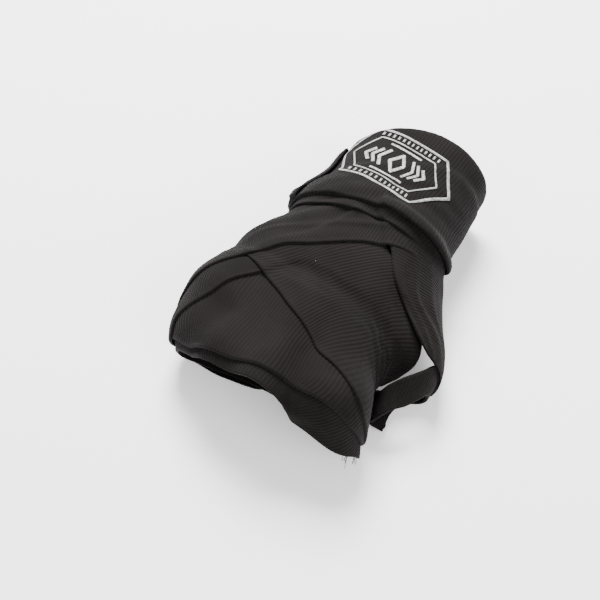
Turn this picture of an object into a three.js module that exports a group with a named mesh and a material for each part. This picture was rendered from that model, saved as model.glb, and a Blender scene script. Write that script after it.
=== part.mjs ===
// An elastic hand wrap in the shape it takes on a closed right hand.
// Millimetres, +Z up from the palm side, -Y towards the knuckles, +X towards the thumb.
// The origin is the middle of the flat that the palm side rests on.
import * as THREE from 'three';

// ---- driving dimensions ----
const CLOTH = 1.0;               // thickness of one layer of the elastic cloth
const LAYER_PITCH = 1.7;         // from one layer to the next, with a little air between them
const INNER_LAYER = -3.2;        // inner face of the first layer, from the surface of the form
const REST_LAYER = 5;            // the layer whose outer face lies on the rest plane, z = 0
const CUFF_REST_LAYER = 3;       // the same for the turns round the wrist
const TAPE = 0.8;                // thickness of the hook tape and the loop tape
const TAPE_GAP = 0.4;            // air between a tape and the face it lies on
const INK = 0.4;                 // thickness of the printed badge
const THREAD = 0.7;              // side of a row of stitching
const HAND_AXIS = [3, 18];       // x and z of the line that the turns of the hand go round
const THUMB_AXIS_OUT = 3;        // how far outside the middle of the thumb its strips are set out from
const CELL_ALONG = 5;            // length of one facet along a strip
const CELL_ACROSS = 5.5;         // and across it
const WRIST_CELLS = 1.15;        // how much larger the facets are on the gentle curve of the wrist

// ---- the form: round cones from one end to the other, [x, y, z, radius] ----
const HAND_CONES = [
  [[11, 40, 21, 14], [31, -36, 23, 13]],        // index metacarpal
  [[2, 42, 23, 14], [10, -44, 25, 13]],         // middle metacarpal
  [[-9, 40, 23, 14], [-9, -41, 23, 12.5]],      // ring metacarpal
  [[-14.5, 42, 21, 13], [-21, 8, 22, 13.5]],    // little finger side, near the wrist
  [[-21, 8, 22, 13.5], [-25.5, -18, 20.5, 13.5]],
  [[-25.5, -18, 20.5, 13.5], [-24.5, -33, 19, 12]],
  [[33, -38, 22, 13.5], [40, -49, 5, 13]],      // the four fingers turn down from the knuckles
  [[10, -46, 24, 12.5], [11, -60, 4, 10.5]],
  [[-9, -42, 22, 12], [-8, -56, 2, 10]],
  [[-25, -34, 18, 11], [-24, -46, 0, 9.5]],
  [[-15.5, 40, 14, 14], [-23.5, -18, 11, 13]],  // heel of the hand
  [[14, 42, 14, 14], [22, 0, 13, 13]],          // ball of the thumb
  [[22, 0, 13, 13], [25, -34, 15, 12]],
  [[-2, 36, 14, 13], [3, -34, 15, 12.5]],       // middle of the palm, which the turns bridge
  [[-9, 48, 19, 17.5], [-9, 125, 21, 18.5]],    // the wrist, from side to side
  [[0, 48, 19, 18.5], [0, 125, 21, 19.5]],
  [[17, 48, 19, 17], [11, 125, 21, 19]],
];
const THUMB_CONES = [
  [[15, 42, 16, 14], [45.5, -3, 13, 12.5]],     // thumb metacarpal
  [[45.5, -3, 13, 12], [51, -36, -1, 10.5]],    // first joint of the thumb
];
const WEB_CONE = [[15, 42, 16, 14], [41, 6, 14, 12]];   // the thumb as far as the web
const HAND_SMOOTH = 9;
const THUMB_SMOOTH = 8;
const WEB_SMOOTH = 16;
const FLAT_SMOOTH = 3;
const HAND_CLEARANCE = 6.8;      // from the bare hand to the turn round the thumb, where they press

// ---- accuracy ----
const SLOPE_STEP = 0.02;         // for the direction a form's surface faces
const CAST = { from: 75, steps: 60, damping: 0.85, nearest: 1, close: 1e-4 };
const TRIALS = 120;              // places at which the length of a strip is measured
const TINY = 1e-9;
const REST_SNAP = 2e-3;          // a point this near to the rest plane lies on it

// ---- places on the cuff and on the thumb loop, in degrees round their axis and y ----
const BADGE = { angle: 97, halfAngle: 54, y: 66, halfHeight: 14.5, shoulder: 0.62, cells: 7 };
const BADGE_BORDER = [1, 0.86];  // outer and inner size, as shares of the badge
const BADGE_CENTRE = [0.6, 0.3];
const CLOSURE = { root: 205, tip: 160, y0: 36, y1: 72, cells: 7 };
const LOOP_TAPE = { root: -1, tip: 2, margin: 3 };     // set in from the ends and sides of the tab
const HOOK_TAPE = { root: -4, tip: 5, margin: 2 };
const BINDING_REACH = 5.5;                             // degrees of the tab that its binding covers
const SEAM = { root: -5, tip: 7, margin: 3, width: [-2, 1], cells: 5 };
const BARTACK = { angles: [-92, -76], y: [-14, -4], width: [3, 0.8] };

// ---- distance functions of the form ----
const vec = (x, y, z) => new THREE.Vector3(x, y, z);

function roundCone(p, [[ax, ay, az, ra], [bx, by, bz, rb]]) {
  const a = vec(ax, ay, az);
  const axis = vec(bx, by, bz).sub(a);
  const length2 = axis.lengthSq();
  const taper = ra - rb;
  const side2 = length2 - taper * taper;
  const fromA = p.clone().sub(a);
  const y = fromA.dot(axis);
  const z = y - length2;
  const x2 = fromA.multiplyScalar(length2).addScaledVector(axis, -y).lengthSq();
  const y2 = y * y * length2;
  const z2 = z * z * length2;
  const k = Math.sign(taper) * taper * taper * x2;
  if (Math.sign(z) * side2 * z2 > k) return Math.sqrt(x2 + z2) / length2 - rb;
  if (Math.sign(y) * side2 * y2 < k) return Math.sqrt(x2 + y2) / length2 - ra;
  return (Math.sqrt(x2 * side2 / length2) + y * taper) / length2 - ra;
}

function smoothMin(a, b, k) {
  const h = Math.max(k - Math.abs(a - b), 0) / k;
  return Math.min(a, b) - h * h * k / 4;
}

const smoothMax = (a, b, k) => -smoothMin(-a, -b, k);
const union = (p, cones, k) => cones.reduce((d, cone) => smoothMin(d, roundCone(p, cone), k), 1e3);

// the outer face of a layer, counted from 1, and the height where a form is cut flat for it
const inner = (layer) => INNER_LAYER + (layer - 1) * LAYER_PITCH;
const outer = (layer) => inner(layer) + CLOTH;
const flat = (p, d, layer) => smoothMax(d, outer(layer) - p.z, FLAT_SMOOTH);

const handForm = (p) => flat(p, union(p, HAND_CONES, HAND_SMOOTH), REST_LAYER);
const webForm = (p) => flat(p, smoothMin(union(p, HAND_CONES, HAND_SMOOTH),
  roundCone(p, WEB_CONE), WEB_SMOOTH), REST_LAYER);
const wholeForm = (p) => smoothMin(webForm(p), union(p, THUMB_CONES, THUMB_SMOOTH), THUMB_SMOOTH);
const wristForm = (p) => flat(p, union(p, HAND_CONES, HAND_SMOOTH), CUFF_REST_LAYER);
const thumbForm = (p) => {
  const thumb = union(p, THUMB_CONES, THUMB_SMOOTH);
  const hand = union(p, HAND_CONES, HAND_SMOOTH);
  return flat(p, smoothMax(thumb, HAND_CLEARANCE - hand, FLAT_SMOOTH), REST_LAYER);
};

function normalOf(form, p) {
  const e = SLOPE_STEP;
  const slope = (dx, dy, dz) => form(vec(p.x + dx, p.y + dy, p.z + dz))
    - form(vec(p.x - dx, p.y - dy, p.z - dz));
  return vec(slope(e, 0, 0), slope(0, e, 0), slope(0, 0, e)).normalize();
}

// from a place on an axis, along a direction, inwards to the surface at a distance from the form
function cast(form, from, direction, distance) {
  let reach = CAST.from;
  for (let i = 0; i < CAST.steps; i += 1) {
    const step = form(from.clone().addScaledVector(direction, reach)) - distance;
    reach = Math.max(reach - CAST.damping * step, CAST.nearest);
    if (Math.abs(step) < CAST.close) break;
  }
  return from.clone().addScaledVector(direction, reach);
}

// ---- strips ----
const rad = THREE.MathUtils.degToRad;

// how the rows of a strip follow each other
const OPEN = { closed: false };
const AROUND = { closed: true, turn: -360 };     // the last row meets the first one turn on
const PATCH = { closed: true, turn: 0 };         // a closed outline that lies on one side
const STRAIGHT = { straight: true, cellsPerRow: 3 };

// the numbers of a strip between the rows of its list, for u from 0 to 1
function between(rows, u, { closed, turn, straight }) {
  const spans = closed ? rows.length : rows.length - 1;
  const at = Math.min(u * spans, spans - TINY);
  const i = Math.floor(at);
  const t = at - i;
  const row = (k) => {
    if (!closed) return rows[Math.min(Math.max(k, 0), rows.length - 1)];
    const lap = Math.floor(k / rows.length);
    return rows[k - lap * rows.length].map((v, column) => (column % 2 === 0 ? v + turn * lap : v));
  };
  const [a, b, c, d] = [row(i - 1), row(i), row(i + 1), row(i + 2)];
  if (straight) return b.map((v, j) => v + (c[j] - v) * t);
  return b.map((_, j) => 0.5 * (2 * b[j] + (c[j] - a[j]) * t
    + (2 * a[j] - 5 * b[j] + 4 * c[j] - d[j]) * t * t + (3 * b[j] - a[j] - 3 * c[j] + d[j]) * t ** 3));
}

// one row of points across a strip, at u from 0 to 1 along it, set out from the axis of the hand
function rowAcross(spec, u, across) {
  const { edges, form, layer, lift = 0, axis } = spec;
  const [angleA, yA, angleB, yB] = between(edges, u, spec);
  const row = [];
  for (let j = 0; j <= across; j += 1) {
    const w = j / across;
    const angle = rad(angleA + (angleB - angleA) * w);
    const y = yA + (yB - yA) * w;
    const [cx, cz] = axis ? axis(y) : HAND_AXIS;
    row.push(cast(form, vec(cx, y, cz), vec(Math.cos(angle), 0, Math.sin(angle)), inner(layer) + lift));
  }
  return row;
}

// the sheet of points of a strip: even steps along its middle, or so many to each row if straight
function sheetPoints(spec) {
  const rows = spec.edges.length - (spec.closed ? 0 : 1);
  const trials = spec.straight ? rows * spec.cellsPerRow : TRIALS;
  const last = 1 - TINY;
  const middles = [];
  let widest = 0;
  for (let i = 0; i <= trials; i += 1) {
    const [a, middle, b] = rowAcross(spec, (i / trials) * last, 2);
    middles.push(middle);
    widest = Math.max(widest, a.distanceTo(middle) + middle.distanceTo(b));
  }
  const run = [0];
  for (let i = 1; i <= trials; i += 1) run.push(run[i - 1] + middles[i].distanceTo(middles[i - 1]));
  const scale = spec.cellScale ?? 1;
  const cells = spec.straight ? trials : Math.round(run[trials] / (CELL_ALONG * scale));
  const across = Math.max(Math.round(widest / (CELL_ACROSS * scale)), 1);
  const points = [];
  for (let i = 0; i < cells + (spec.closed ? 0 : 1); i += 1) {
    const goal = (run[trials] * i) / cells;
    const k = Math.max(run.findIndex((r) => r >= goal - TINY), 1);
    const even = (k - 1 + (goal - run[k - 1]) / (run[k] - run[k - 1])) / trials;
    points.push(rowAcross(spec, Math.min(spec.straight ? i / trials : even, last), across));
  }
  return points;
}

// a closed solid from a sheet of points, thickened outwards from the form
function thicken(points, form, thick, closed) {
  const rows = points.length;
  const columns = points[0].length;
  const positions = [];
  const put = (p) => positions.push(p.x, p.y, Math.abs(p.z) < REST_SNAP ? 0 : p.z);
  for (const row of points) row.forEach(put);
  for (const row of points) {
    for (const p of row) put(p.clone().addScaledVector(normalOf(form, p), thick));
  }
  const low = (i, j) => (i % rows) * columns + j;
  const high = (i, j) => rows * columns + low(i, j);
  const index = [];
  const quad = (a, b, c, d) => index.push(a, b, c, a, c, d);
  const spans = closed ? rows : rows - 1;
  for (let i = 0; i < spans; i += 1) {
    for (let j = 0; j < columns - 1; j += 1) {
      quad(low(i, j), low(i, j + 1), low(i + 1, j + 1), low(i + 1, j));
      quad(high(i, j), high(i + 1, j), high(i + 1, j + 1), high(i, j + 1));
    }
    quad(low(i, 0), low(i + 1, 0), high(i + 1, 0), high(i, 0));
    quad(low(i + 1, columns - 1), low(i, columns - 1), high(i, columns - 1), high(i + 1, columns - 1));
  }
  if (!closed) {
    for (let j = 0; j < columns - 1; j += 1) {
      quad(low(0, j + 1), low(0, j), high(0, j), high(0, j + 1));
      quad(low(rows - 1, j), low(rows - 1, j + 1), high(rows - 1, j + 1), high(rows - 1, j));
    }
  }
  const geometry = new THREE.BufferGeometry();
  geometry.setAttribute('position', new THREE.Float32BufferAttribute(positions, 3));
  geometry.setIndex(index);
  return outward(geometry);
}

// faces turned the right way round, whichever way the strip was laid
function outward(geometry) {
  const p = geometry.getAttribute('position');
  const index = geometry.getIndex().array;
  const [a, b, c] = [vec(), vec(), vec()];
  let volume = 0;
  for (let i = 0; i < index.length; i += 3) {
    a.fromBufferAttribute(p, index[i]);
    b.fromBufferAttribute(p, index[i + 1]);
    c.fromBufferAttribute(p, index[i + 2]);
    volume += a.dot(b.cross(c));
  }
  if (volume < 0) {
    for (let i = 0; i < index.length; i += 3) [index[i + 1], index[i + 2]] = [index[i + 2], index[i + 1]];
  }
  geometry.computeVertexNormals();
  return geometry;
}

function strip(spec) {
  return thicken(sheetPoints(spec), spec.form, spec.thick ?? CLOTH, spec.closed ?? false);
}

// ---- the routes of the strip, as [angle, y] of its knuckle-side and its wrist-side edge ----
// Angles go round the axis of the hand: 0 at the thumb side, 90 on the back, 180 at the little finger.
const FIRST_TURN = [
  [90, -52, 90, -6], [60, -52, 60, -6], [40, -52, 40, -8], [20, -52.6, 20, -10],
  [3, -53.2, 2, -12], [-10, -45, -13, -11], [-27, -39.5, -30, -6], [-50, -38, -52, 3],
  [-70, -37, -70, 8], [-90, -37, -90, 10], [-120, -38, -120, 10], [-150, -40, -150, 8],
  [-180, -47, -180, -2], [-205, -51, -205, -6], [-240, -52, -240, -6],
];
const SECOND_TURN = [
  [90, -47, 90, -2], [60, -46, 60, -2], [40, -45, 40, -4], [20, -44, 20, -6], [0, -42, 0, -8],
  [-22, -37, -25, -4], [-48, -31, -50, 8], [-70, -28, -70, 16], [-90, -26, -90, 18],
  [-120, -28, -120, 18], [-150, -34, -150, 14], [-180, -43, -180, 2], [-205, -48, -205, -2],
  [-240, -48, -240, -2],
];
const THIRD_TURN = [
  [120, 4, 112, 33], [92, 6, 85, 35], [60, 5, 60, 35], [30, 4, 30, 32], [5, -2, 5, 28],
  [-25, -8, -25, 24], [-60, -14, -60, 22], [-90, -20, -90, 20], [-120, -28, -120, 16],
  [-150, -36, -150, 10], [-180, -44, -176, 4], [-195, -38, -190, 10], [-209, -26, -204, 20],
  [-220, -12, -226, 27],
];
const WEB_PASS = [
  [150, -4, 100, 36], [143, -6.5, 75, 35], [131, -10, 51, 29], [90, -17.5, 33, 23],
  [51, -24.7, 19, 16], [31.7, -32, 8, 6], [12, -37.5, -3, -4], [-12, -38.5, -18, -8],
  [-36, -36, -34, 0], [-62, -30, -59, 10], [-90, -22, -84, 20], [-118, -12, -110, 24],
  [-150, 0, -138, 26],
];
const BACK_PASS = [
  [318, -22, 312, 16], [290, -32, 290, 12], [262, -37, 262, 11], [236, -40, 238, 10],
  [210, -41, 218, 10], [190, -38, 206, 16], [176, -31, 194, 21], [161, -20, 178, 25],
  [150, -7.5, 160, 29], [139, 2, 146, 32], [124, 11, 131, 34.5], [87.5, 21, 92, 36],
  [55.7, 28, 58, 36.5], [40, 31, 41, 36],
];
const CUFF_TURN = [
  [90, 42, 90, 91], [60, 43, 60, 92], [30, 43.5, 30, 91], [0, 44, 0, 89.5], [-30, 43, -30, 87],
  [-60, 41, -60, 85], [-90, 39, -90, 83], [-120, 38, -120, 81], [-150, 36, -150, 79],
  [-180, 35, -180, 77.5], [-210, 36.5, -210, 79.5], [-240, 39.5, -240, 86.5],
];

const THUMB_LOOP = [
  [100, -15, 100, -26], [78, -10.5, 78, -22], [56, -5, 56, -18], [33, 0, 33, -13], [8, 4, 8, -8],
  [-25, 4, -25, -8], [-60, 0, -60, -12], [-95, -4, -95, -17], [-130, -9, -130, -22],
  [-165, -14, -165, -28], [-200, -17, -200, -29], [-232, -17, -232, -28],
];
const THUMB_PASS = [
  [100, 20, -6, 25], [94, 11, -16, 15], [80, 4, -24, 6], [58, 0, -30, 0], [34, 0, -34, -3],
];

// ---- nodes ----
const wrap = new THREE.Group();

const finishes = {
  cloth: { color: 0x2a2829, roughness: 0.9, metalness: 0 },
  tape: { color: 0x1b1b1c, roughness: 0.95, metalness: 0 },
  thread: { color: 0x38363a, roughness: 0.7, metalness: 0 },
  ink: { color: 0x9a9691, roughness: 0.5, metalness: 0.1 },
};

function add(name, finish, spec) {
  const mesh = new THREE.Mesh(strip(spec), new THREE.MeshStandardMaterial(finishes[finish]));
  mesh.name = name;
  wrap.add(mesh);
}

// the passes over the back of the hand and round the palm
function buildHandPasses() {
  const turn = { ...AROUND, form: handForm };
  add('palm_turn_first', 'cloth', { ...turn, edges: FIRST_TURN, layer: 1 });
  add('palm_turn_second', 'cloth', { ...turn, edges: SECOND_TURN, layer: 2 });
  add('palm_turn_third', 'cloth', { ...turn, edges: THIRD_TURN, layer: 3 });
  add('index_web_pass', 'cloth', { ...OPEN, form: webForm, edges: WEB_PASS, layer: 4 });
  add('back_hand_pass', 'cloth', { ...OPEN, form: webForm, edges: BACK_PASS, layer: 5 });
}

// x and z of the line that the thumb's strips are set out from, at a place y along the hand
function thumbAxis(y) {
  const [wrist, joint] = THUMB_CONES[0];
  const tip = THUMB_CONES[1][1];
  const [from, to] = y > joint[1] ? [wrist, joint] : [joint, tip];
  const t = (y - from[1]) / (to[1] - from[1]);
  return [from[0] + (to[0] - from[0]) * t + THUMB_AXIS_OUT, from[2] + (to[2] - from[2]) * t];
}

// the loop that the thumb goes through, and the pass that ties it to the wrist
function buildThumb() {
  add('thumb_loop', 'cloth', { ...AROUND, form: thumbForm, axis: thumbAxis, edges: THUMB_LOOP, layer: 3 });
  add('thumb_pass', 'cloth', { ...OPEN, form: wholeForm, axis: thumbAxis, edges: THUMB_PASS, layer: 5 });
  const tack = frameRows(BARTACK.angles, BARTACK.y, BARTACK.width);
  add('thumb_loop_bartack', 'thread', {
    ...PATCH, ...STRAIGHT, form: thumbForm, axis: thumbAxis, edges: tack, layer: 3,
    lift: CLOTH + TAPE_GAP, thick: THREAD,
  });
}

// rows for a four-sided frame: its outer angles and y, and how far in its inner edge lies
function frameRows([angle0, angle1], [y0, y1], [inAngle, inY]) {
  return [
    [angle0, y0, angle0 + inAngle, y0 + inY], [angle1, y0, angle1 - inAngle, y0 + inY],
    [angle1, y1, angle1 - inAngle, y1 - inY], [angle0, y1, angle0 + inAngle, y1 - inY],
  ];
}

// the turns round the wrist and the badge printed on the outer one
function buildCuff() {
  const turn = { ...AROUND, form: wristForm, edges: CUFF_TURN, cellScale: WRIST_CELLS };
  add('wrist_turn_first', 'cloth', { ...turn, layer: 1 });
  add('wrist_turn_second', 'cloth', { ...turn, layer: 2 });
  add('wrist_turn_outer', 'cloth', { ...turn, layer: 3 });
  const print = {
    ...PATCH, ...STRAIGHT, cellsPerRow: BADGE.cells, form: wristForm, layer: 3,
    lift: CLOTH + TAPE_GAP, thick: INK,
  };
  add('badge_print_border', 'ink', { ...print, edges: hexagonRows(BADGE_BORDER) });
  add('badge_print_centre', 'ink', { ...print, edges: hexagonRows(BADGE_CENTRE) });
}

// a long hexagon round the middle of the badge, between two sizes of it
function hexagonRows([outerSize, innerSize]) {
  const { angle, halfAngle, y, halfHeight, shoulder } = BADGE;
  const corners = [[1, 0], [shoulder, 1], [-shoulder, 1], [-1, 0], [-shoulder, -1], [shoulder, -1]];
  const at = ([a, b], size) => [angle + halfAngle * a * size, y + halfHeight * b * size];
  return corners.map((corner) => [...at(corner, outerSize), ...at(corner, innerSize)]);
}

// the end of the strip: hook tape under it, loop tape on the cuff beneath, sewn round their edges
function buildClosure() {
  const { root, tip, y0, y1, cells } = CLOSURE;
  const patch = (from, to, margin) => [
    [from, y0 + margin, from, y1 - margin], [to, y0 + margin, to, y1 - margin],
  ];
  const under = (tape) => patch(root + tape.root, tip + tape.tip, tape.margin);
  const onCuff = { ...OPEN, ...STRAIGHT, cellsPerRow: cells, form: wristForm, layer: 3 };
  const lifts = { loop: CLOTH + TAPE_GAP };
  lifts.hook = lifts.loop + TAPE + TAPE_GAP;
  lifts.tab = lifts.hook + TAPE + TAPE_GAP;
  lifts.top = lifts.tab + CLOTH + TAPE_GAP;
  const seam = { ...PATCH, ...STRAIGHT, cellsPerRow: SEAM.cells, form: wristForm, layer: 3, thick: THREAD };
  const seamEdges = [[root + SEAM.root, tip + SEAM.tip], [y0 + SEAM.margin, y1 - SEAM.margin]];
  const seamRows = frameRows(...seamEdges, SEAM.width);
  add('loop_tape', 'tape', { ...onCuff, edges: under(LOOP_TAPE), lift: lifts.loop, thick: TAPE });
  add('hook_tape', 'tape', { ...onCuff, edges: under(HOOK_TAPE), lift: lifts.hook, thick: TAPE });
  add('closure_tab', 'cloth', { ...onCuff, edges: patch(root, tip, 0), lift: lifts.tab });
  add('hook_tape_stitching', 'thread', { ...seam, edges: seamRows, lift: lifts.top });
  add('tab_end_binding', 'cloth', {
    ...onCuff, cellsPerRow: 1, edges: patch(tip + BINDING_REACH, tip, 0), lift: lifts.top, thick: TAPE,
  });
}

buildHandPasses();
buildThumb();
buildCuff();
buildClosure();

export default wrap;
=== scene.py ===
"""An elastic hand wrap in the shape of a closed right hand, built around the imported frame.

The wrap is one ribbed elastic strip. Each stretch of it is a fine mesh laid over the form of the hand,
on top of whatever lies beneath it there, so the edges of lower layers show through the upper ones.
Lengths are in millimetres until a mesh is made, and angles go round the axis of the hand in degrees:
0 at the thumb side, 90 on the back, 180 at the little finger.
"""
import math

import bpy
import numpy as np
from mathutils import Matrix, Vector


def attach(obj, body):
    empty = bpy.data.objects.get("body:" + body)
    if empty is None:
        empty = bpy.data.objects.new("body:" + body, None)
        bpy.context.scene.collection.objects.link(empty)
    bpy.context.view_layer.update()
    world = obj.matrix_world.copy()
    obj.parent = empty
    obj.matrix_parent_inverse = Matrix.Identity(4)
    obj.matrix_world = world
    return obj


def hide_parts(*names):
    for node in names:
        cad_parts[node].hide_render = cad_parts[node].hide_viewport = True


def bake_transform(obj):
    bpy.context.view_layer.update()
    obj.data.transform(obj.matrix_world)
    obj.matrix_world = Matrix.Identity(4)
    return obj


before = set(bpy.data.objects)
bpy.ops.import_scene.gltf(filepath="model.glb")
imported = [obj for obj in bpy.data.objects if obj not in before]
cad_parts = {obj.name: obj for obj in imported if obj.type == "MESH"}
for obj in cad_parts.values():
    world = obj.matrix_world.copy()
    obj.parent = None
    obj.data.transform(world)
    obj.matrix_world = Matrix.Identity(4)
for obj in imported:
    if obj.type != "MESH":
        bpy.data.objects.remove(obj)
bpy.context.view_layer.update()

MM = 0.001

# ---- driving dimensions, millimetres ----
CLOTH = 1.0              # thickness of the strip
TAPE = 0.8               # thickness of the hook tape and the loop tape
AIR = 0.05               # between one layer and the next
FIRST_LAYER = -0.9       # inner face of the first layer, from the surface of the form
FLAT_AT = 4.6            # height where the form is cut flat for the palm side to rest on
CUFF_FLAT_AT = 1.3       # the same at the wrist
CUFF_SINK = 1.4          # how much deeper the layers start at the wrist, where the form is fuller
RIB_PITCH = 1.45         # from one crepe rib to the next, along the strip
RIB_HEIGHT = 0.2         # of the crepe ribs, above the cloth
YARN_PITCH = 0.9         # from one lengthwise yarn to the next
HAND_AXIS = (3.0, 18.0)  # x and z of the line that the turns go round
THUMB_AXIS_OUT = 3.0     # how far outside the middle of the thumb its strips are set out from
FINE = 0.36              # step of the mesh along a strip that shows
COARSE = 1.2             # and along one that is covered
REST_GAP = 0.02          # least height of an outer face above the plane that the wrap rests on
CUFF_RADIUS = 27.0       # of the cuff under the badge, to turn a distance round it into an angle
INK = 0.16               # thickness of the printed badge
INK_LIFT = 0.02          # air between the badge and the cuff

# ---- the form: round cones, ((x, y, z, radius), (x, y, z, radius)) ----
HAND_CONES = [
    ((11, 40, 21, 14), (31, -36, 23, 13)),        # index metacarpal
    ((2, 42, 23, 14), (10, -44, 25, 13)),         # middle metacarpal
    ((-9, 40, 23, 14), (-9, -41, 23, 12.5)),      # ring metacarpal
    ((-14.5, 42, 21, 13), (-21, 8, 22, 13.5)),    # little finger side, near the wrist
    ((-21, 8, 22, 13.5), (-25.5, -18, 20.5, 13.5)),
    ((-25.5, -18, 20.5, 13.5), (-24.5, -33, 19, 12)),
    ((33, -38, 22, 13.5), (40, -49, 5, 13)),      # the four fingers turn down from the knuckles
    ((10, -46, 24, 12.5), (11, -60, 4, 10.5)),
    ((-9, -42, 22, 12), (-8, -56, 2, 10)),
    ((-25, -34, 18, 11), (-24, -46, 0, 9.5)),
    ((-15.5, 40, 14, 14), (-23.5, -18, 11, 13)),  # heel of the hand
    ((14, 42, 14, 14), (22, 0, 13, 13)),          # ball of the thumb
    ((22, 0, 13, 13), (25, -34, 15, 12)),
    ((-2, 36, 14, 13), (3, -34, 15, 12.5)),       # middle of the palm, which the turns bridge
    ((-9, 48, 19, 17.5), (-9, 125, 21, 18.5)),    # the wrist, from side to side
    ((0, 48, 19, 18.5), (0, 125, 21, 19.5)),
    ((17, 48, 19, 17), (11, 125, 21, 19)),
]
THUMB_CONES = [
    ((15, 42, 16, 14), (45.5, -3, 13, 12.5)),     # thumb metacarpal
    ((45.5, -3, 13, 12), (51, -36, -1, 10.5)),    # first joint of the thumb
]
WEB_CONE = ((15, 42, 16, 14), (41, 6, 14, 12))    # the thumb as far as the web
HAND_SMOOTH = 9
THUMB_SMOOTH = 8
WEB_SMOOTH = 16
FLAT_SMOOTH = 3
HAND_CLEARANCE = 5.2     # between the thumb's form and the hand's


# ---- distance functions of the form, for arrays of points ----
def round_cone(p, cone):
    (ax, ay, az, ra), (bx, by, bz, rb) = cone
    a = np.array([ax, ay, az], float)
    axis = np.array([bx, by, bz], float) - a
    length2 = axis @ axis
    taper = ra - rb
    side2 = length2 - taper * taper
    from_a = p - a
    y = from_a @ axis
    z = y - length2
    x2 = ((from_a * length2 - y[..., None] * axis) ** 2).sum(-1)
    y2 = y * y * length2
    z2 = z * z * length2
    k = np.sign(taper) * taper * taper * x2
    at_b = np.sqrt(x2 + z2) / length2 - rb
    at_a = np.sqrt(x2 + y2) / length2 - ra
    between = (np.sqrt(x2 * side2 / length2) + y * taper) / length2 - ra
    return np.where(np.sign(z) * side2 * z2 > k, at_b, np.where(np.sign(y) * side2 * y2 < k, at_a, between))


def smooth_min(a, b, k):
    h = np.maximum(k - np.abs(a - b), 0) / k
    return np.minimum(a, b) - h * h * k / 4


def smooth_max(a, b, k):
    return -smooth_min(-a, -b, k)


def union(p, cones, k):
    d = round_cone(p, cones[0])
    for cone in cones[1:]:
        d = smooth_min(d, round_cone(p, cone), k)
    return d


def bare_hand(p):
    return union(p, HAND_CONES, HAND_SMOOTH)


def hand_form(p):
    return smooth_max(bare_hand(p), FLAT_AT - p[..., 2], FLAT_SMOOTH)


def web_form(p):
    d = smooth_min(bare_hand(p), round_cone(p, WEB_CONE), WEB_SMOOTH)
    return smooth_max(d, FLAT_AT - p[..., 2], FLAT_SMOOTH)


def whole_form(p):
    return smooth_min(web_form(p), union(p, THUMB_CONES, THUMB_SMOOTH), THUMB_SMOOTH)


def wrist_form(p):
    return smooth_max(bare_hand(p), CUFF_FLAT_AT - p[..., 2], FLAT_SMOOTH)


def thumb_form(p):
    d = smooth_max(union(p, THUMB_CONES, THUMB_SMOOTH), HAND_CLEARANCE - bare_hand(p), 3 * FLAT_SMOOTH)
    return smooth_max(d, FLAT_AT - p[..., 2], FLAT_SMOOTH)


def normals_of(form, p):
    e = 0.05
    slope = [form(p + np.array(v) * e) - form(p - np.array(v) * e) for v in np.eye(3)]
    n = np.stack(slope, -1)
    return n / np.linalg.norm(n, axis=-1, keepdims=True)


def hand_axis(y):
    return np.full_like(y, HAND_AXIS[0]), np.full_like(y, HAND_AXIS[1])


def thumb_axis(y):
    root, joint = THUMB_CONES[0]
    tip = THUMB_CONES[1][1]
    t = (y - root[1]) / (joint[1] - root[1])
    u = np.maximum((y - joint[1]) / (tip[1] - joint[1]), 0)
    t = np.minimum(t, 1)
    x = root[0] + (joint[0] - root[0]) * t + (tip[0] - joint[0]) * u
    z = root[2] + (joint[2] - root[2]) * t + (tip[2] - joint[2]) * u
    return x + THUMB_AXIS_OUT, z


def hand_place(p):
    """The angle round the hand and the y of points in space."""
    return np.degrees(np.arctan2(p[..., 2] - HAND_AXIS[1], p[..., 0] - HAND_AXIS[0])), p[..., 1]


def ease(x, low, high):
    t = np.clip((x - low) / (high - low), 0, 1)
    return t * t * (3 - 2 * t)


def cast(form, axis, angle, y):
    """Points on the form, looking inwards at its axis from an angle, at a place y along it."""
    x0, z0 = axis(y)
    origin = np.stack([x0, y, z0], -1)
    direction = np.stack([np.cos(np.radians(angle)), np.zeros_like(y), np.sin(np.radians(angle))], -1)
    reach = np.full(y.shape, 60.0)
    for _ in range(26):
        reach = np.maximum(reach - 0.9 * form(origin + direction * reach[..., None]), 1)
    return origin + direction * reach[..., None]


# ---- smooth tables and noise ----
def resample(table, at, closed=False):
    """Catmull-Rom through the rows of a table, at places counted in rows."""
    rows = len(table)
    i = np.floor(at).astype(int)
    if not closed:
        i = np.clip(i, 0, rows - 2)
    t = (at - i).reshape((-1,) + (1,) * (table.ndim - 1))

    def row(k):
        return table[k % rows] if closed else table[np.clip(k, 0, rows - 1)]

    a, b, c, d = row(i - 1), row(i), row(i + 1), row(i + 2)
    return 0.5 * (2 * b + (c - a) * t + (2 * a - 5 * b + 4 * c - d) * t**2 + (3 * b - a - 3 * c + d) * t**3)


def ripple(s, seed, longest, shortest, count=7):
    """A smooth random wave along s, about -1 to 1."""
    rng = np.random.default_rng(seed)
    lengths = np.geomspace(longest, shortest, count)
    wave = sum(np.sin(2 * np.pi * s / ln + rng.uniform(0, 6.28)) * (ln / longest) ** 0.6 for ln in lengths)
    return wave / 2.2


# ---- what lies on the form already, as a height over angle and y ----
ANGLE_STEP = 0.5
Y_STEP = 0.5
Y_FROM = -68.0
Y_TO = 102.0
heights = np.zeros((int(360 / ANGLE_STEP), int((Y_TO - Y_FROM) / Y_STEP) + 1))


def shifted(h, k, across):
    if across == 0:
        return np.roll(h, k, 0)
    out = np.roll(h, k, 1)
    if k > 0:
        out[:, :k] = h[:, :1]
    if k < 0:
        out[:, k:] = h[:, -1:]
    return out


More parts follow.
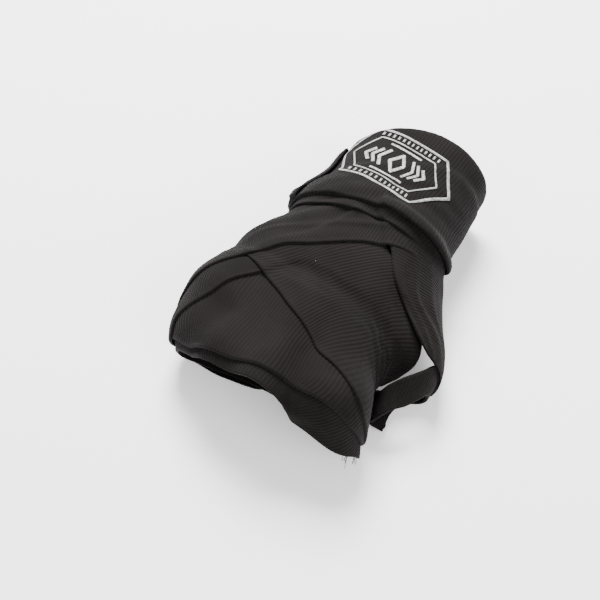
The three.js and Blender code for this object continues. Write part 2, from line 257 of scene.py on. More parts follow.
def draped(h):
    """The height that cloth takes over a stack of layers: up at their edges, and round them."""
    for across, reach in ((0, 3), (1, 2)):
        h = np.maximum.reduce([shifted(h, k, across) for k in range(-reach, reach + 1)])
    for across, sigma in ((0, 3.0), (1, 1.9)):
        reach = int(3 * sigma)
        ks = np.arange(-reach, reach + 1)
        weights = np.exp(-0.5 * (ks / sigma) ** 2)
        h = sum(w * shifted(h, k, across) for k, w in zip(ks, weights / weights.sum()))
    return h


def sample(h, angle, y):
    a = (angle % 360) / ANGLE_STEP
    b = np.clip((y - Y_FROM) / Y_STEP, 0, h.shape[1] - 1.001)
    i, j = np.floor(a).astype(int), np.floor(b).astype(int)
    s, t = a - i, b - j
    i0, i1 = i % h.shape[0], (i + 1) % h.shape[0]
    low = h[i0, j] * (1 - s) + h[i1, j] * s
    high = h[i0, j + 1] * (1 - s) + h[i1, j + 1] * s
    return low * (1 - t) + high * t


def add_layer(angle, y, rise):
    """Adds a strip to the heights, from the angle, the y and the added height on its grid."""
    grid = np.stack(np.broadcast_arrays(angle, y, rise), -1)
    for finer in (2, 4):
        length = grid.shape[0]
        at = np.linspace(0, length - 1, length * finer)
        low = np.floor(at).astype(int).clip(0, length - 2)
        t = (at - low)[:, None, None]
        grid = np.swapaxes(grid[low] * (1 - t) + grid[low + 1] * t, 0, 1)
    angle, y, rise = grid[..., 0], grid[..., 1], grid[..., 2]
    i = np.round((angle % 360) / ANGLE_STEP).astype(int) % heights.shape[0]
    j = np.clip(np.round((y - Y_FROM) / Y_STEP).astype(int), 0, heights.shape[1] - 1)
    mask = np.zeros_like(heights)
    np.maximum.at(mask, (i, j), rise)
    heights[:] = heights + mask


# ---- meshes ----
def make_mesh(name, points, faces, uv, material):
    mesh = bpy.data.meshes.new(name)
    mesh.from_pydata((points * MM).tolist(), [], faces.tolist())
    if uv is not None:
        layer = mesh.uv_layers.new(name="UVMap")
        layer.data.foreach_set("uv", (uv.reshape(-1, 2) * MM).ravel())
    mesh.polygons.foreach_set("use_smooth", np.ones(len(mesh.polygons), bool))
    mesh.update()
    piece = bpy.data.objects.new(name, mesh)
    bpy.context.scene.collection.objects.link(piece)
    mesh.materials.append(material)
    return piece


def shell(inner, outer, along, across, closed):
    """Vertices, faces and texture coordinates of a closed sheet from its two faces."""
    n, m = inner.shape[:2]
    points = np.concatenate([inner.reshape(-1, 3), outer.reshape(-1, 3)])
    i = np.arange(n if closed else n - 1)[:, None]
    j = np.arange(m - 1)[None, :]
    k = (i + 1) % n
    top = n * m

    def corners(a, b, c, d):
        return np.stack(np.broadcast_arrays(a, b, c, d), -1).reshape(-1, 4)

    up = corners(i * m + j, k * m + j, k * m + j + 1, i * m + j + 1)
    faces = [up + top, up[:, ::-1]]
    for edge, turn in ((0, 1), (m - 1, -1)):
        side = corners(i * m + edge, k * m + edge, top + k * m + edge, top + i * m + edge)
        faces.append(side[:, ::turn])
    if not closed:
        for row, turn in ((0, -1), (n - 1, 1)):
            end = corners(row * m + j, row * m + j + 1, top + row * m + j + 1, top + row * m + j)
            faces.append(end[:, ::turn])
    faces = np.concatenate(faces)
    length = along.max() + (along[1:] - along[:-1]).mean()
    uv = np.stack([along.ravel(), np.broadcast_to(across, (n, m)).ravel()], -1)
    coordinates = uv[faces % top]
    wrapped = (coordinates[..., 0].max(1) - coordinates[..., 0].min(1)) > length / 2
    low = coordinates[..., 0] < length / 2
    coordinates[..., 0] += np.where(wrapped[:, None] & low, length, 0)
    return points, faces, coordinates


def fix_outward(points, faces):
    a, b, c = (points[faces[:, k]] for k in (0, 1, 2))
    d = points[faces[:, 3]]
    volume = (a * np.cross(b, c)).sum() + (a * np.cross(c, d)).sum()
    return faces if volume > 0 else faces[:, ::-1]


def columns_across(width, step):
    """Places across a strip, closer together at its two edges."""
    edge = [0, 0.12, 0.35, 0.7, 1.2, 1.9]
    middle = np.linspace(2.8, width - 2.8, max(int((width - 5.6) / step), 2))
    return np.concatenate([edge, middle, width - np.array(edge[::-1])]) / width


class Strip:
    """One stretch of the wrap, laid over the form on top of what is already there."""

    def __init__(self, route, form, axis=hand_axis, closed=False, step=FINE, seed=1, waver=0.22):
        self.closed = closed
        self.form = form
        self.axis = axis
        table = np.array(route, float)
        if closed:
            turn = np.array([360.0, 0, 360.0, 0])
            table = np.concatenate([table[-2:] + turn, table, table[:3] - turn])
        spans = len(route) - (0 if closed else 1)
        start = 2 if closed else 0
        trial = resample(table, start + np.linspace(0, spans, 241))
        middle = cast(form, axis, (trial[:, 0] + trial[:, 2]) / 2, (trial[:, 1] + trial[:, 3]) / 2)
        run = np.concatenate([[0], np.cumsum(np.linalg.norm(np.diff(middle, axis=0), axis=1))])
        self.length = run[-1]
        self.rows = int(self.length / step)
        goals = np.linspace(0, self.length, self.rows + 1)
        goals = goals[:-1] if closed else goals
        self.s = goals
        rows = resample(table, start + np.interp(goals, run, np.linspace(0, spans, 241)))
        fade = np.ones_like(goals)
        if closed:
            fade = np.clip(np.minimum(goals, self.length - goals) / 12, 0, 1)
        rows[:, 1] += waver * ripple(goals, seed, 60, 9) * fade
        rows[:, 3] += waver * ripple(goals, seed + 50, 60, 9) * fade
        self.fade = fade[:, None]
        self.edges = rows
        some = rows[::12]
        chord = cast(form, axis, some[:, 0], some[:, 1]) - cast(form, axis, some[:, 2], some[:, 3])
        self.width = float(np.median(np.linalg.norm(chord, axis=1))) * 1.06
        self.v = columns_across(self.width, 1.2 if step <= FINE else 2.0)
        self.w = self.v[None, :] * self.width
        self.angle = rows[:, :1] * (1 - self.v) + rows[:, 2:3] * self.v
        self.y = rows[:, 1:2] * (1 - self.v) + rows[:, 3:4] * self.v
        self._cast_surface(step)

    def _cast_surface(self, step):
        """The form under the strip, cast on a coarse grid and made fine by interpolation."""
        along = max(int(round(2.0 / step)), 1)
        picks = np.arange(0, len(self.s), along)
        if not self.closed and picks[-1] != len(self.s) - 1:
            picks = np.append(picks, len(self.s) - 1)
        across = np.linspace(0, 1, max(int(self.width / 2.2), 4))
        angle = self.edges[picks, 0:1] * (1 - across) + self.edges[picks, 2:3] * across
        y = self.edges[picks, 1:2] * (1 - across) + self.edges[picks, 3:4] * across
        base = cast(self.form, self.axis, angle, y)
        both = np.concatenate([base, normals_of(self.form, base)], -1)
        places = np.interp(np.arange(len(self.s)), picks, np.arange(len(picks)))
        if self.closed:
            last = len(picks) - 1 + (np.arange(len(self.s)) - picks[-1]) / (len(self.s) - picks[-1])
            places = np.where(np.arange(len(self.s)) > picks[-1], last, places)
        both = resample(both, places, self.closed)
        both = np.swapaxes(resample(np.swapaxes(both, 0, 1), self.v * (len(across) - 1)), 0, 1)
        self.base = both[..., :3]
        n = both[..., 3:]
        self.normal = n / np.linalg.norm(n, axis=-1, keepdims=True)

    def support(self):
        """Height of the stack under the strip. A strip set out round the thumb leaves it at the web."""
        if self.axis is hand_axis:
            return sample(draped(heights), self.angle, self.y) - CUFF_SINK * ease(self.y, 18, 45)
        angle, y = hand_place(self.base)
        near = 1 - ease(web_form(self.base), 1, 5)
        return sample(draped(heights), angle, y) * near

    def profile(self, thick):
        """Thickness across the strip: rounded at both edges, with a slightly heavier selvedge."""
        edge = np.minimum(self.w, self.width - self.w)
        rounding = np.sqrt(np.clip(1 - (1 - np.clip(edge / 0.6, 0, 1)) ** 2, 0.04, 1))
        selvedge = 0.12 * np.exp(-(((edge - 1.1) / 0.5) ** 2))
        return thick * rounding + selvedge

    def rib_phase(self):
        """Where each point lies among the ribs: a whole number at every groove."""
        count = round(self.length / RIB_PITCH)
        wander = 0.35 * ripple(self.w * 0.9 + self.s[:, None] * 0.35, 5, 60, 22, 4) * self.fade
        return self.s[:, None] * count / self.length + wander

    def ribs(self):
        edge = np.minimum(self.w, self.width - self.w)
        inside = np.clip((edge - 0.8) / 1.2, 0, 1)
        return -RIB_HEIGHT * 0.5 * np.cos(2 * np.pi * self.rib_phase()) * inside


def gathers(strip, across, along, spacing, height, seed):
    """Soft folds along a strip, between two shares of its width and two shares of its length."""
    u = strip.s[:, None] / strip.length
    v = strip.w / strip.width
    middle = (across[0] + across[1]) / 2
    window = np.clip(1 - ((v - middle) / (across[1] - middle)) ** 2, 0, 1)
    place = (along[0] + along[1]) / 2
    window = window * np.clip(1 - ((u - place) / (along[1] - place)) ** 2, 0, 1) ** 1.5
    drift = 0.45 * ripple(strip.s, seed, 70, 30, 3)[:, None] + 0.5 * ripple(strip.w, seed + 7, 40, 13, 4)
    crest = 0.5 - 0.5 * np.cos(2 * np.pi * (strip.w / spacing + drift))
    return height * window * crest ** 1.6


def lay(name, strip, material, thick=CLOTH, lift=None, ribbed=True, stacked=True):
    """Makes the mesh of a strip, and adds it to the stack."""
    support = strip.support() if stacked else 0
    inner_at = FIRST_LAYER + support
    if lift is not None:
        inner_at = lift(strip, inner_at)
    added = np.maximum(inner_at - FIRST_LAYER - support + thick + AIR, 0)
    outer_at = inner_at + strip.profile(thick) + (strip.ribs() if ribbed else 0)
    inner = strip.base + strip.normal * np.broadcast_to(inner_at, strip.y.shape)[..., None]
    outer = strip.base + strip.normal * outer_at[..., None]
    outer[..., 2] = np.maximum(outer[..., 2], REST_GAP)
    along = strip.rib_phase() * RIB_PITCH
    points, faces, uv = shell(inner, outer, along, strip.w, strip.closed)
    turned = fix_outward(points, faces)
    if turned is not faces:
        uv = uv[:, ::-1]
    piece = make_mesh(name, points, turned, uv, material)
    if stacked:
        angle, y = (strip.angle, strip.y) if strip.axis is hand_axis else hand_place(outer)
        add_layer(angle, y, added)
    strip.outer = outer
    return piece


# ---- materials ----
def node_material(name):
    material = bpy.data.materials.new(name)
    material.use_nodes = True
    tree = material.node_tree
    return material, tree, tree.nodes["Principled BSDF"]


class Graph:
    """Short names for the nodes that the materials use."""

    def __init__(self, tree):
        self.tree = tree

    def add(self, kind, **values):
        node = self.tree.nodes.new(kind)
        for key, value in values.items():
            setattr(node, key, value)
        return node

    def put(self, value, socket):
        if hasattr(value, "is_output"):
            self.tree.links.new(value, socket)
        else:
            socket.default_value = value

    def math(self, operation, a, b=0.0, clamp=False):
        node = self.add("ShaderNodeMath", operation=operation, use_clamp=clamp)
        self.put(a, node.inputs[0])
        self.put(b, node.inputs[1])
        return node.outputs[0]

    def noise(self, vector, scale, detail=2.0):
        node = self.add("ShaderNodeTexNoise")
        self.put(vector, node.inputs["Vector"])
        node.inputs["Scale"].default_value = scale
        node.inputs["Detail"].default_value = detail
        return node.outputs["Fac"]

    def mix(self, factor, a, b):
        node = self.add("ShaderNodeMix", data_type="RGBA")
        self.put(factor, node.inputs[0])
        self.put(a, node.inputs[6])
        self.put(b, node.inputs[7])
        return node.outputs[2]

    def spread(self, value, low, high):
        node = self.add("ShaderNodeMapRange")
        self.put(value, node.inputs[0])
        node.inputs[1].default_value = low
        node.inputs[2].default_value = high
        return node.outputs[0]

    def wave(self, value, pitch):
        """A sine of a length in metres, from 0 to 1."""
        turns = self.math("MULTIPLY", value, 2 * math.pi / pitch)
        return self.math("ADD", self.math("MULTIPLY", self.math("SINE", turns), 0.5), 0.5)


def elastic_cloth(name, dark, light, groove):
    """Black crepe elastic: cross ribs, fine lengthwise yarns, uneven dye, and a few specks of lint, with
    painted shade in the grooves between the ribs and between the yarns.
    """
    material, tree, shader = node_material(name)
    g = Graph(tree)
    uv = g.add("ShaderNodeUVMap", uv_map="UVMap").outputs[0]
    split = g.add("ShaderNodeSeparateXYZ")
    g.put(uv, split.inputs[0])
    along, across = split.outputs[0], split.outputs[1]
    place = g.add("ShaderNodeTexCoord").outputs["Object"]
    ridge = g.wave(g.math("ADD", along, -RIB_PITCH * MM / 4), RIB_PITCH * MM)
    yarn = g.wave(across, YARN_PITCH * MM)
    pile = g.noise(place, 1900.0, 3.0)
    cloudy = g.spread(g.noise(place, 46.0, 3.0), 0.35, 0.65)
    worn = g.spread(g.noise(place, 420.0, 2.0), 0.3, 0.7)
    tone = g.math("ADD", g.math("MULTIPLY", cloudy, 0.5), g.math("MULTIPLY", worn, 0.5))
    colour = g.mix(tone, (*dark, 1), (*light, 1))
    # painted shade: the colour is darkest in the grooves between the ribs and the yarns and lightest on their
    # crests; groove is the share of colour left in the grooves
    weave = g.math("ADD", g.math("MULTIPLY", ridge, 0.62), g.math("MULTIPLY", yarn, 0.38))
    clear = g.spread(g.noise(place, 30.0, 1.0), 0.4, 0.6)
    painted_groove_shade = g.math("MULTIPLY", g.math("ADD", g.math("MULTIPLY", clear, 0.6), 0.4), 1 - groove)
    shade = g.math("SUBTRACT", 1.0, g.math("MULTIPLY", painted_groove_shade, g.math("SUBTRACT", 1.0, weave)))
    tint = g.add("ShaderNodeVectorMath", operation="SCALE")
    g.put(colour, tint.inputs[0])
    g.put(shade, tint.inputs["Scale"])
    lint = g.add("ShaderNodeTexVoronoi", feature="F1")
    g.put(place, lint.inputs["Vector"])
    lint.inputs["Scale"].default_value = 105.0
    near = g.math("LESS_THAN", lint.outputs["Distance"], 0.022)
    rare = g.add("ShaderNodeSeparateColor")
    g.put(lint.outputs["Color"], rare.inputs[0])
    speck = g.math("MULTIPLY", near, g.math("GREATER_THAN", rare.outputs[0], 0.72))
    linted = g.mix(g.math("MULTIPLY", speck, 0.4), tint.outputs[0], (0.3, 0.3, 0.31, 1))
    g.put(linted, shader.inputs["Base Color"])
    bump = g.add("ShaderNodeBump")
    bump.inputs["Strength"].default_value = 0.55
    bump.inputs["Distance"].default_value = 0.00022
    g.put(g.math("ADD", g.math("MULTIPLY", weave, 0.7), g.math("MULTIPLY", pile, 0.6)), bump.inputs["Height"])
    g.put(bump.outputs[0], shader.inputs["Normal"])
    g.put(g.math("ADD", g.math("MULTIPLY", worn, 0.12), 0.78), shader.inputs["Roughness"])
    shader.inputs["Specular IOR Level"].default_value = 0.08
    shader.inputs["Sheen Weight"].default_value = 0.04
    shader.inputs["Sheen Roughness"].default_value = 0.45
    shader.inputs["Sheen Tint"].default_value = (0.85, 0.86, 0.9, 1)
    return material


def pile_tape(name, colour, scale, strength):
    """Hook or loop tape: a dense field of tiny bumps, with painted highlight on their tops and painted shade
    between them.
    """
    material, tree, shader = node_material(name)
    g = Graph(tree)
    place = g.add("ShaderNodeTexCoord").outputs["Object"]
    cells = g.add("ShaderNodeTexVoronoi", feature="F1")
    g.put(place, cells.inputs["Vector"])
    cells.inputs["Scale"].default_value = scale
    fuzz = g.noise(place, scale * 1.7, 3.0)
    tone = g.spread(cells.outputs["Distance"], 0.1, 0.7)
    # painted highlight: the colour is 2.4 times lighter at the top of each bump and fades to the plain colour
    # between them
    painted_highlight_colour = tuple(c * 2.4 for c in colour)
    g.put(g.mix(tone, (*painted_highlight_colour, 1), (*colour, 1)), shader.inputs["Base Color"])
    bump = g.add("ShaderNodeBump")
    bump.inputs["Strength"].default_value = strength
    bump.inputs["Distance"].default_value = 0.0004
    g.put(g.math("SUBTRACT", fuzz, cells.outputs["Distance"]), bump.inputs["Height"])
    g.put(bump.outputs[0], shader.inputs["Normal"])
    shader.inputs["Roughness"].default_value = 0.85
    shader.inputs["Specular IOR Level"].default_value = 0.1
    shader.inputs["Sheen Weight"].default_value = 0.03
    return material


def sewing_thread():
    material, tree, shader = node_material("sewing_thread")
    g = Graph(tree)
    place = g.add("ShaderNodeTexCoord").outputs["Object"]
    twist = g.noise(place, 2400.0, 2.0)
    g.put(g.mix(twist, (0.010, 0.010, 0.011, 1), (0.030, 0.030, 0.032, 1)), shader.inputs["Base Color"])
    shader.inputs["Roughness"].default_value = 0.6
    shader.inputs["Specular IOR Level"].default_value = 0.2
    return material


def badge_ink(name, dark, light):
    """Screen-printed ink that the weave shows through, thin in places."""
    material, tree, shader = node_material(name)
    g = Graph(tree)
    place = g.add("ShaderNodeTexCoord").outputs["Object"]
    thin = g.spread(g.noise(place, 900.0, 3.0), 0.3, 0.62)
    cloudy = g.spread(g.noise(place, 140.0, 2.0), 0.3, 0.7)
    tone = g.math("MULTIPLY", thin, g.math("ADD", g.math("MULTIPLY", cloudy, 0.5), 0.5))
    g.put(g.mix(tone, (*dark, 1), (*light, 1)), shader.inputs["Base Color"])
    bump = g.add("ShaderNodeBump")
    bump.inputs["Strength"].default_value = 0.4
    bump.inputs["Distance"].default_value = 0.0002
    g.put(g.noise(place, 1500.0, 2.0), bump.inputs["Height"])
    g.put(bump.outputs[0], shader.inputs["Normal"])
    shader.inputs["Roughness"].default_value = 0.55
    return material


MATERIALS = {
    # The last number is the share of colour left in the painted shade of the rib grooves; the ribbed cloth
    # has the deepest painted groove shade.
    "cloth": elastic_cloth("elastic_cloth", (0.0036, 0.0025, 0.0023), (0.0094, 0.0076, 0.0075), 0.8),
    "pass": elastic_cloth("elastic_cloth_ribbed_deeper_groove_shade", (0.0034, 0.0022, 0.0019), (0.0094, 0.0074, 0.0072), 0.55),
    "binding": elastic_cloth("binding_tape", (0.006, 0.0055, 0.006), (0.014, 0.013, 0.014), 0.6),
    "loop": pile_tape("loop_pile", (0.0060, 0.0055, 0.0058), 1500.0, 0.7),
    "hook": pile_tape("hook_pile", (0.0042, 0.0042, 0.0046), 900.0, 0.9),
    "thread": sewing_thread(),
    "ink": badge_ink("badge_ink", (0.10, 0.095, 0.09), (0.50, 0.48, 0.46)),
    "silver": badge_ink("badge_ink_silver", (0.10, 0.10, 0.10), (0.40, 0.40, 0.40)),
}

# ---- the routes, as angle and y of the knuckle-side edge and of the wrist-side edge ----
FIRST_TURN = [
    (90, -52, 90, -6), (60, -52, 60, -6), (40, -52, 40, -8), (20, -52.6, 20, -10),
    (3, -53.2, 2, -12), (-10, -45, -13, -11), (-27, -39.5, -30, -6), (-50, -38, -52, 3),
    (-70, -37, -70, 8), (-90, -37, -90, 10), (-120, -38, -120, 10), (-150, -40, -150, 8),
    (-180, -47, -180, -2), (-205, -51, -205, -6), (-240, -52, -240, -6),
]
SECOND_TURN = [
    (90, -47, 90, -2), (60, -46, 60, -2), (40, -45, 40, -4), (20, -44, 20, -6),
    (0, -42, 0, -8), (-22, -37, -25, -4), (-48, -31, -50, 8), (-70, -28, -70, 16),
    (-90, -26, -90, 18), (-120, -28, -120, 18), (-150, -34, -150, 14), (-180, -43, -180, 2),
    (-205, -48, -205, -2), (-240, -48, -240, -2),
]
THIRD_TURN = [
    (120, 4, 112, 38), (92, 6, 85, 37), (60, 5, 60, 36), (30, 4, 30, 32),
    (5, -2, 5, 28), (-25, -8, -25, 24), (-60, -14, -60, 22), (-90, -20, -90, 20),
    (-120, -28, -120, 16), (-150, -36, -150, 10), (-180, -44, -176, 4), (-195, -38, -190, 10),
    (-209, -26, -204, 20), (-220, -12, -226, 32),
]
WEB_PASS = [
    (150, -4, 100, 37), (143, -6.5, 75, 35), (131, -10, 50, 29), (90, -17.5, 31, 23),
    (51, -24.7, 15, 14), (31.7, -32, 4, 3), (12, -37.5, -7, -6), (-12, -38.5, -20, -8),
    (-36, -36, -37, 1), (-62, -30, -59, 10), (-90, -22, -84, 20), (-118, -12, -110, 24),
    (-150, 0, -138, 26),
]
BACK_PASS = [
    (318, -22, 312, 16), (290, -32, 290, 12), (262, -37, 262, 11), (236, -40, 238, 10),
    (210, -41, 218, 10), (190, -38, 206, 16), (176, -31, 196, 22), (161, -20, 187, 30),
    (150, -7.5, 168, 38), (139, 2, 152, 46), (124, 11, 134, 56), (87.5, 21, 98, 66),
    (55.7, 28, 64, 74), (37, 32, 46, 77), (18, 34, 22, 78), (-4, 36, 0, 78),
]
CUFF_TURN = [
    (90, 42, 90, 91), (60, 43, 60, 92), (30, 43.5, 30, 91), (0, 44, 0, 89.5),
    (-30, 43, -30, 87), (-60, 41, -60, 85), (-90, 39, -90, 83), (-120, 38, -120, 81),
    (-150, 36, -150, 79), (-180, 35, -180, 77.5), (-210, 36.5, -210, 79.5), (-240, 39.5, -240, 86.5),
]
THUMB_LOOP = [
    (100, -15, 100, -26), (78, -10.5, 78, -22), (56, -5, 56, -18), (33, 0, 33, -13),
    (8, 4, 8, -8), (-25, 4, -25, -8), (-60, 0, -60, -12), (-95, -4, -95, -17),
    (-130, -9, -130, -21), (-165, -13, -165, -25), (-200, -16, -200, -27), (-232, -17, -232, -28),
]
THUMB_PASS = [
    (112, 46, 8, 46), (111, 37, 6, 40), (108, 28, 0, 33), (107, 18, -10, 24), (96, 11, -20, 14),
    (80, 4, -27, 6), (58, 0, -34, 0), (34, 0, -37, -2), (20, 1, -41, -3),
]
TAB_ROOT = 205           # angles where the closure tab leaves the cuff, and where it ends
TAB_TIP = 160
TAB_EDGES = (36.0, 72.0)
BADGE_ANGLE = 97.0
BADGE_Y = 66.5
BADGE_TILT = -3.0        # degrees
BADGE_HALF = (28.5, 15.0)
SHOULDER = 0.66          # where the long sides of the hexagon end, as a share of its half width
TICKS = 13
TICK_PITCH = 2.6
CHEVRONS = 3             # on each side of the diamond


def patch(start, end, margin, count=6):
    """Rows of a straight patch on the side of the cuff."""
    angles = np.linspace(start, end, count)
    return [(a, TAB_EDGES[0] + margin, a, TAB_EDGES[1] - margin) for a in angles]


def narrowed(route, nearer, further):
    """The cuff's route with its two edges moved along the arm, on the back of the hand."""
    rows = []
    for angle_a, y_a, angle_b, y_b in route:
        on_back = float(ease(math.sin(math.radians(angle_a)), -0.5, 0.4))
        rows.append((angle_a, y_a + nearer * on_back, angle_b, y_b + further * on_back))
    return rows


def declare(piece, nodes, body=None):
    """Hides the parts of the frame that a strip stands in for, and makes it move with a body if one is given.
    """
    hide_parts(*nodes)
    if body:
        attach(piece, body)


# ---- camera ----
def build_camera():
    azimuth, elevation, distance = math.radians(33), math.radians(53), 0.52
    target = Vector((0.0, 0.010, 0.018))
    back = Vector((
        math.sin(azimuth) * math.cos(elevation),
        -math.cos(azimuth) * math.cos(elevation),
        math.sin(elevation),
    ))
    right = Vector((math.cos(azimuth), math.sin(azimuth), 0))
    up = back.cross(right)
    data = bpy.data.cameras.new("camera")
    data.sensor_width = 36
    data.lens = 76.4
    data.shift_x = -22 / 600
    data.shift_y = -12 / 600
    camera = bpy.data.objects.new("camera", data)
    bpy.context.scene.collection.objects.link(camera)
    turn = Matrix((right, up, back)).transposed().to_4x4()
    camera.matrix_world = Matrix.Translation(target + back * distance) @ turn
    bpy.context.scene.camera = camera


# ---- the strips, in the order they were wound ----
def build_hand():
    first = Strip(FIRST_TURN, hand_form, closed=True, seed=11)
    piece = lay("palm_turn_1", first, MATERIALS["cloth"])
    declare(piece, ["palm_turn_first"], "hand")
    second = Strip(SECOND_TURN, hand_form, closed=True, seed=12)
    uneven = lambda strip, at: at + 0.5 * hollows(strip, 63)
    piece = lay("palm_turn_2", second, MATERIALS["pass"], lift=uneven)
    declare(piece, ["palm_turn_second"], "hand")
    third = Strip(THIRD_TURN, hand_form, closed=True, seed=13)
    piece = lay("palm_turn_3", third, MATERIALS["pass"])
    declare(piece, ["palm_turn_third"], "hand")
    web = Strip(WEB_PASS, web_form, seed=14)
    folds = lambda strip, at: (
        at + gathers(strip, (0.42, 1.05), (0.22, 0.62), 5.6, 1.5, 61)
        + gathers(strip, (-0.1, 0.9), (0.0, 0.3), 13, 0.4, 62)
    )
    piece = lay("web_pass", web, MATERIALS["pass"], lift=folds)
    declare(piece, ["index_web_pass"], "hand")


def hollows(strip, seed):
    """A slight unevenness where the cloth spans between the bones, from 0 to 1."""
    wave = ripple(strip.s, seed, 55, 18, 4)[:, None] * ripple(strip.w + 20, seed + 3, 45, 20, 3)
    return np.clip(0.5 + 0.5 * wave * strip.fade, 0, 1)


def build_thumb():
    loop = Strip(THUMB_LOOP, thumb_form, axis=thumb_axis, closed=True, seed=21, waver=0.2)
    level = lambda strip, at: 0.2 + 0 * strip.y
    piece = lay("thumb_loop_band", loop, MATERIALS["cloth"], stacked=False, lift=level)
    declare(piece, ["thumb_loop"], "thumb")
    over = Strip(THUMB_PASS, whole_form, axis=thumb_axis, seed=22)
    folds = lambda strip, at: (
        np.maximum(at, 1.5) + gathers(strip, (-0.2, 0.75), (0.2, 0.95), 6.5, 1.1, 64)
        - (CLOTH + AIR) * (1 - ease(strip.s, 5, 18)[:, None])
    )
    piece = lay("thumb_band", over, MATERIALS["pass"], lift=folds)
    declare(piece, ["thumb_pass"])
    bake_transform(piece)


def build_back():
    back = Strip(BACK_PASS, web_form, seed=15)
    folds = lambda strip, at: (
        at + gathers(strip, (0.05, 1.0), (0.52, 1.0), 8.5, 1.1, 65)
        + gathers(strip, (0.1, 0.9), (0.3, 0.7), 15, 0.6, 66)
    )
    piece = lay("back_pass", back, MATERIALS["cloth"], lift=folds)
    declare(piece, ["back_hand_pass"])
    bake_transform(piece)


def slack_edge(strip, at):
    """The knuckle-side edge of a wrist turn stands off the hand a little above the thumb."""
    round_it = np.abs((strip.angle - 25 + 180) % 360 - 180)
    loose = 1.3 * (1 - ease(round_it, 15, 70)) * np.exp(-strip.w / 7)
    return at + loose + 0.5 * hollows(strip, 67)


def build_cuff():
    turns = (
        ("wrist_turn_1", "wrist_turn_first", 1.0, -1.0, COARSE),
        ("wrist_turn_2", "wrist_turn_second", -4.5, -2.0, FINE),
        ("wrist_turn_3", "wrist_turn_outer", 0.0, 0.0, FINE),
    )
    for k, (name, node, nearer, further, step) in enumerate(turns):
        strip = Strip(narrowed(CUFF_TURN, nearer, further), wrist_form, closed=True, step=step, seed=31 + k)
        piece = lay(name, strip, MATERIALS["cloth"], lift=slack_edge if k else None)
        declare(piece, [node], "cuff")


def cuff_surface(angle, y):
    """Height of the outermost layer laid so far, from the form of the wrist."""
    return FIRST_LAYER + sample(draped(heights), angle, y) - CUFF_SINK * ease(y, 18, 45)


def on_cuff(place, lift):
    """A point above the outside of the cuff, from distances round the wrist and along the arm."""
    angle = BADGE_ANGLE - place[..., 0] / CUFF_RADIUS * 180 / math.pi
    y = BADGE_Y + place[..., 1]
    base = cast(wrist_form, hand_axis, angle, y)
    at = cuff_surface(angle, y)
    return base + normals_of(wrist_form, base) * (at + lift)[..., None]


def printed_line(path, width, closed):
    """A thin raised line of ink along a path on the cuff."""
    path = np.array(path, float)
    ends = np.concatenate([path, path[:1]]) if closed else path
    run = np.concatenate([[0], np.cumsum(np.linalg.norm(np.diff(ends, axis=0), axis=1))])
    at = np.linspace(0, run[-1], max(int(run[-1] / 0.5), 4))
    at = at[:-1] if closed else at
    middle = np.stack([np.interp(at, run, ends[:, k]) for k in (0, 1)], -1)
    ahead = np.roll(middle, -1, 0) - np.roll(middle, 1, 0)
    if not closed:
        ahead = np.gradient(middle, axis=0)
    side = np.stack([-ahead[:, 1], ahead[:, 0]], -1)
    side /= np.linalg.norm(side, axis=1, keepdims=True)
    w = np.linspace(-0.5, 0.5, max(int(width / 0.5), 2) + 1)
    place = middle[:, None] + side[:, None] * (w[:, None] * width)
    turn = math.radians(BADGE_TILT)
    x, y = place[..., 0], place[..., 1]
    place = np.stack([x * math.cos(turn) - y * math.sin(turn), x * math.sin(turn) + y * math.cos(turn)], -1)
    inner = on_cuff(place, INK_LIFT)
    outer = on_cuff(place, INK_LIFT + INK + RIB_HEIGHT / 2)
    return shell(inner, outer, at[:, None] + 0 * w, w[None, :] * width, closed)


def join_shells(name, shells, material):
    points, faces, uvs = [], [], []
    count = 0
    for p, f, uv in shells:
        turned = fix_outward(p, f)
        uvs.append(uv if turned is f else uv[:, ::-1])
        faces.append(turned + count)
        points.append(p)
        count += len(p)
    return make_mesh(name, np.concatenate(points), np.concatenate(faces), np.concatenate(uvs), material)


def hexagon(scale_x, scale_y):
    """The badge's outline, made smaller by a share of its width and of its height."""
    x, y = BADGE_HALF
    turn = SHOULDER * x
    outline = ((-x, 0), (-turn, -y), (turn, -y), (x, 0), (turn, y), (-turn, y))
    return [(a * scale_x, b * scale_y) for a, b in outline]


def build_badge():
    border = [printed_line(hexagon(1, 1), 1.1, True), printed_line(hexagon(0.8, 0.7), 0.7, True)]
    for k in range(TICKS):
        x = (k - TICKS // 2) * TICK_PITCH
        for way in (-1, 1):
            top = way * BADGE_HALF[1]
            border.append(printed_line([(x, 0.91 * top), (x, 0.79 * top)], 1.0, False))
    piece = join_shells("badge_border", border, MATERIALS["silver"])
    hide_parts("badge_print_border")
    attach(piece, "cuff")
    marks = []
    for way in (-1, 1):
        for k in range(CHEVRONS):
            x = way * (6.5 + 3.4 * k)
            reach = 5.5 - 0.9 * k
            marks.append(printed_line([(x, -reach), (x + way * 3.2, 0), (x, reach)], 1.5, False))
        marks.append(printed_line([(-9, way * 8.3), (9, way * 8.3)], 1.0, False))
    marks.append(printed_line([(-4.2, 0), (0, -5.6), (4.2, 0), (0, 5.6)], 1.7, True))
    piece = join_shells("badge_centre", marks, MATERIALS["ink"])
    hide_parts("badge_print_centre")
    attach(piece, "cuff")


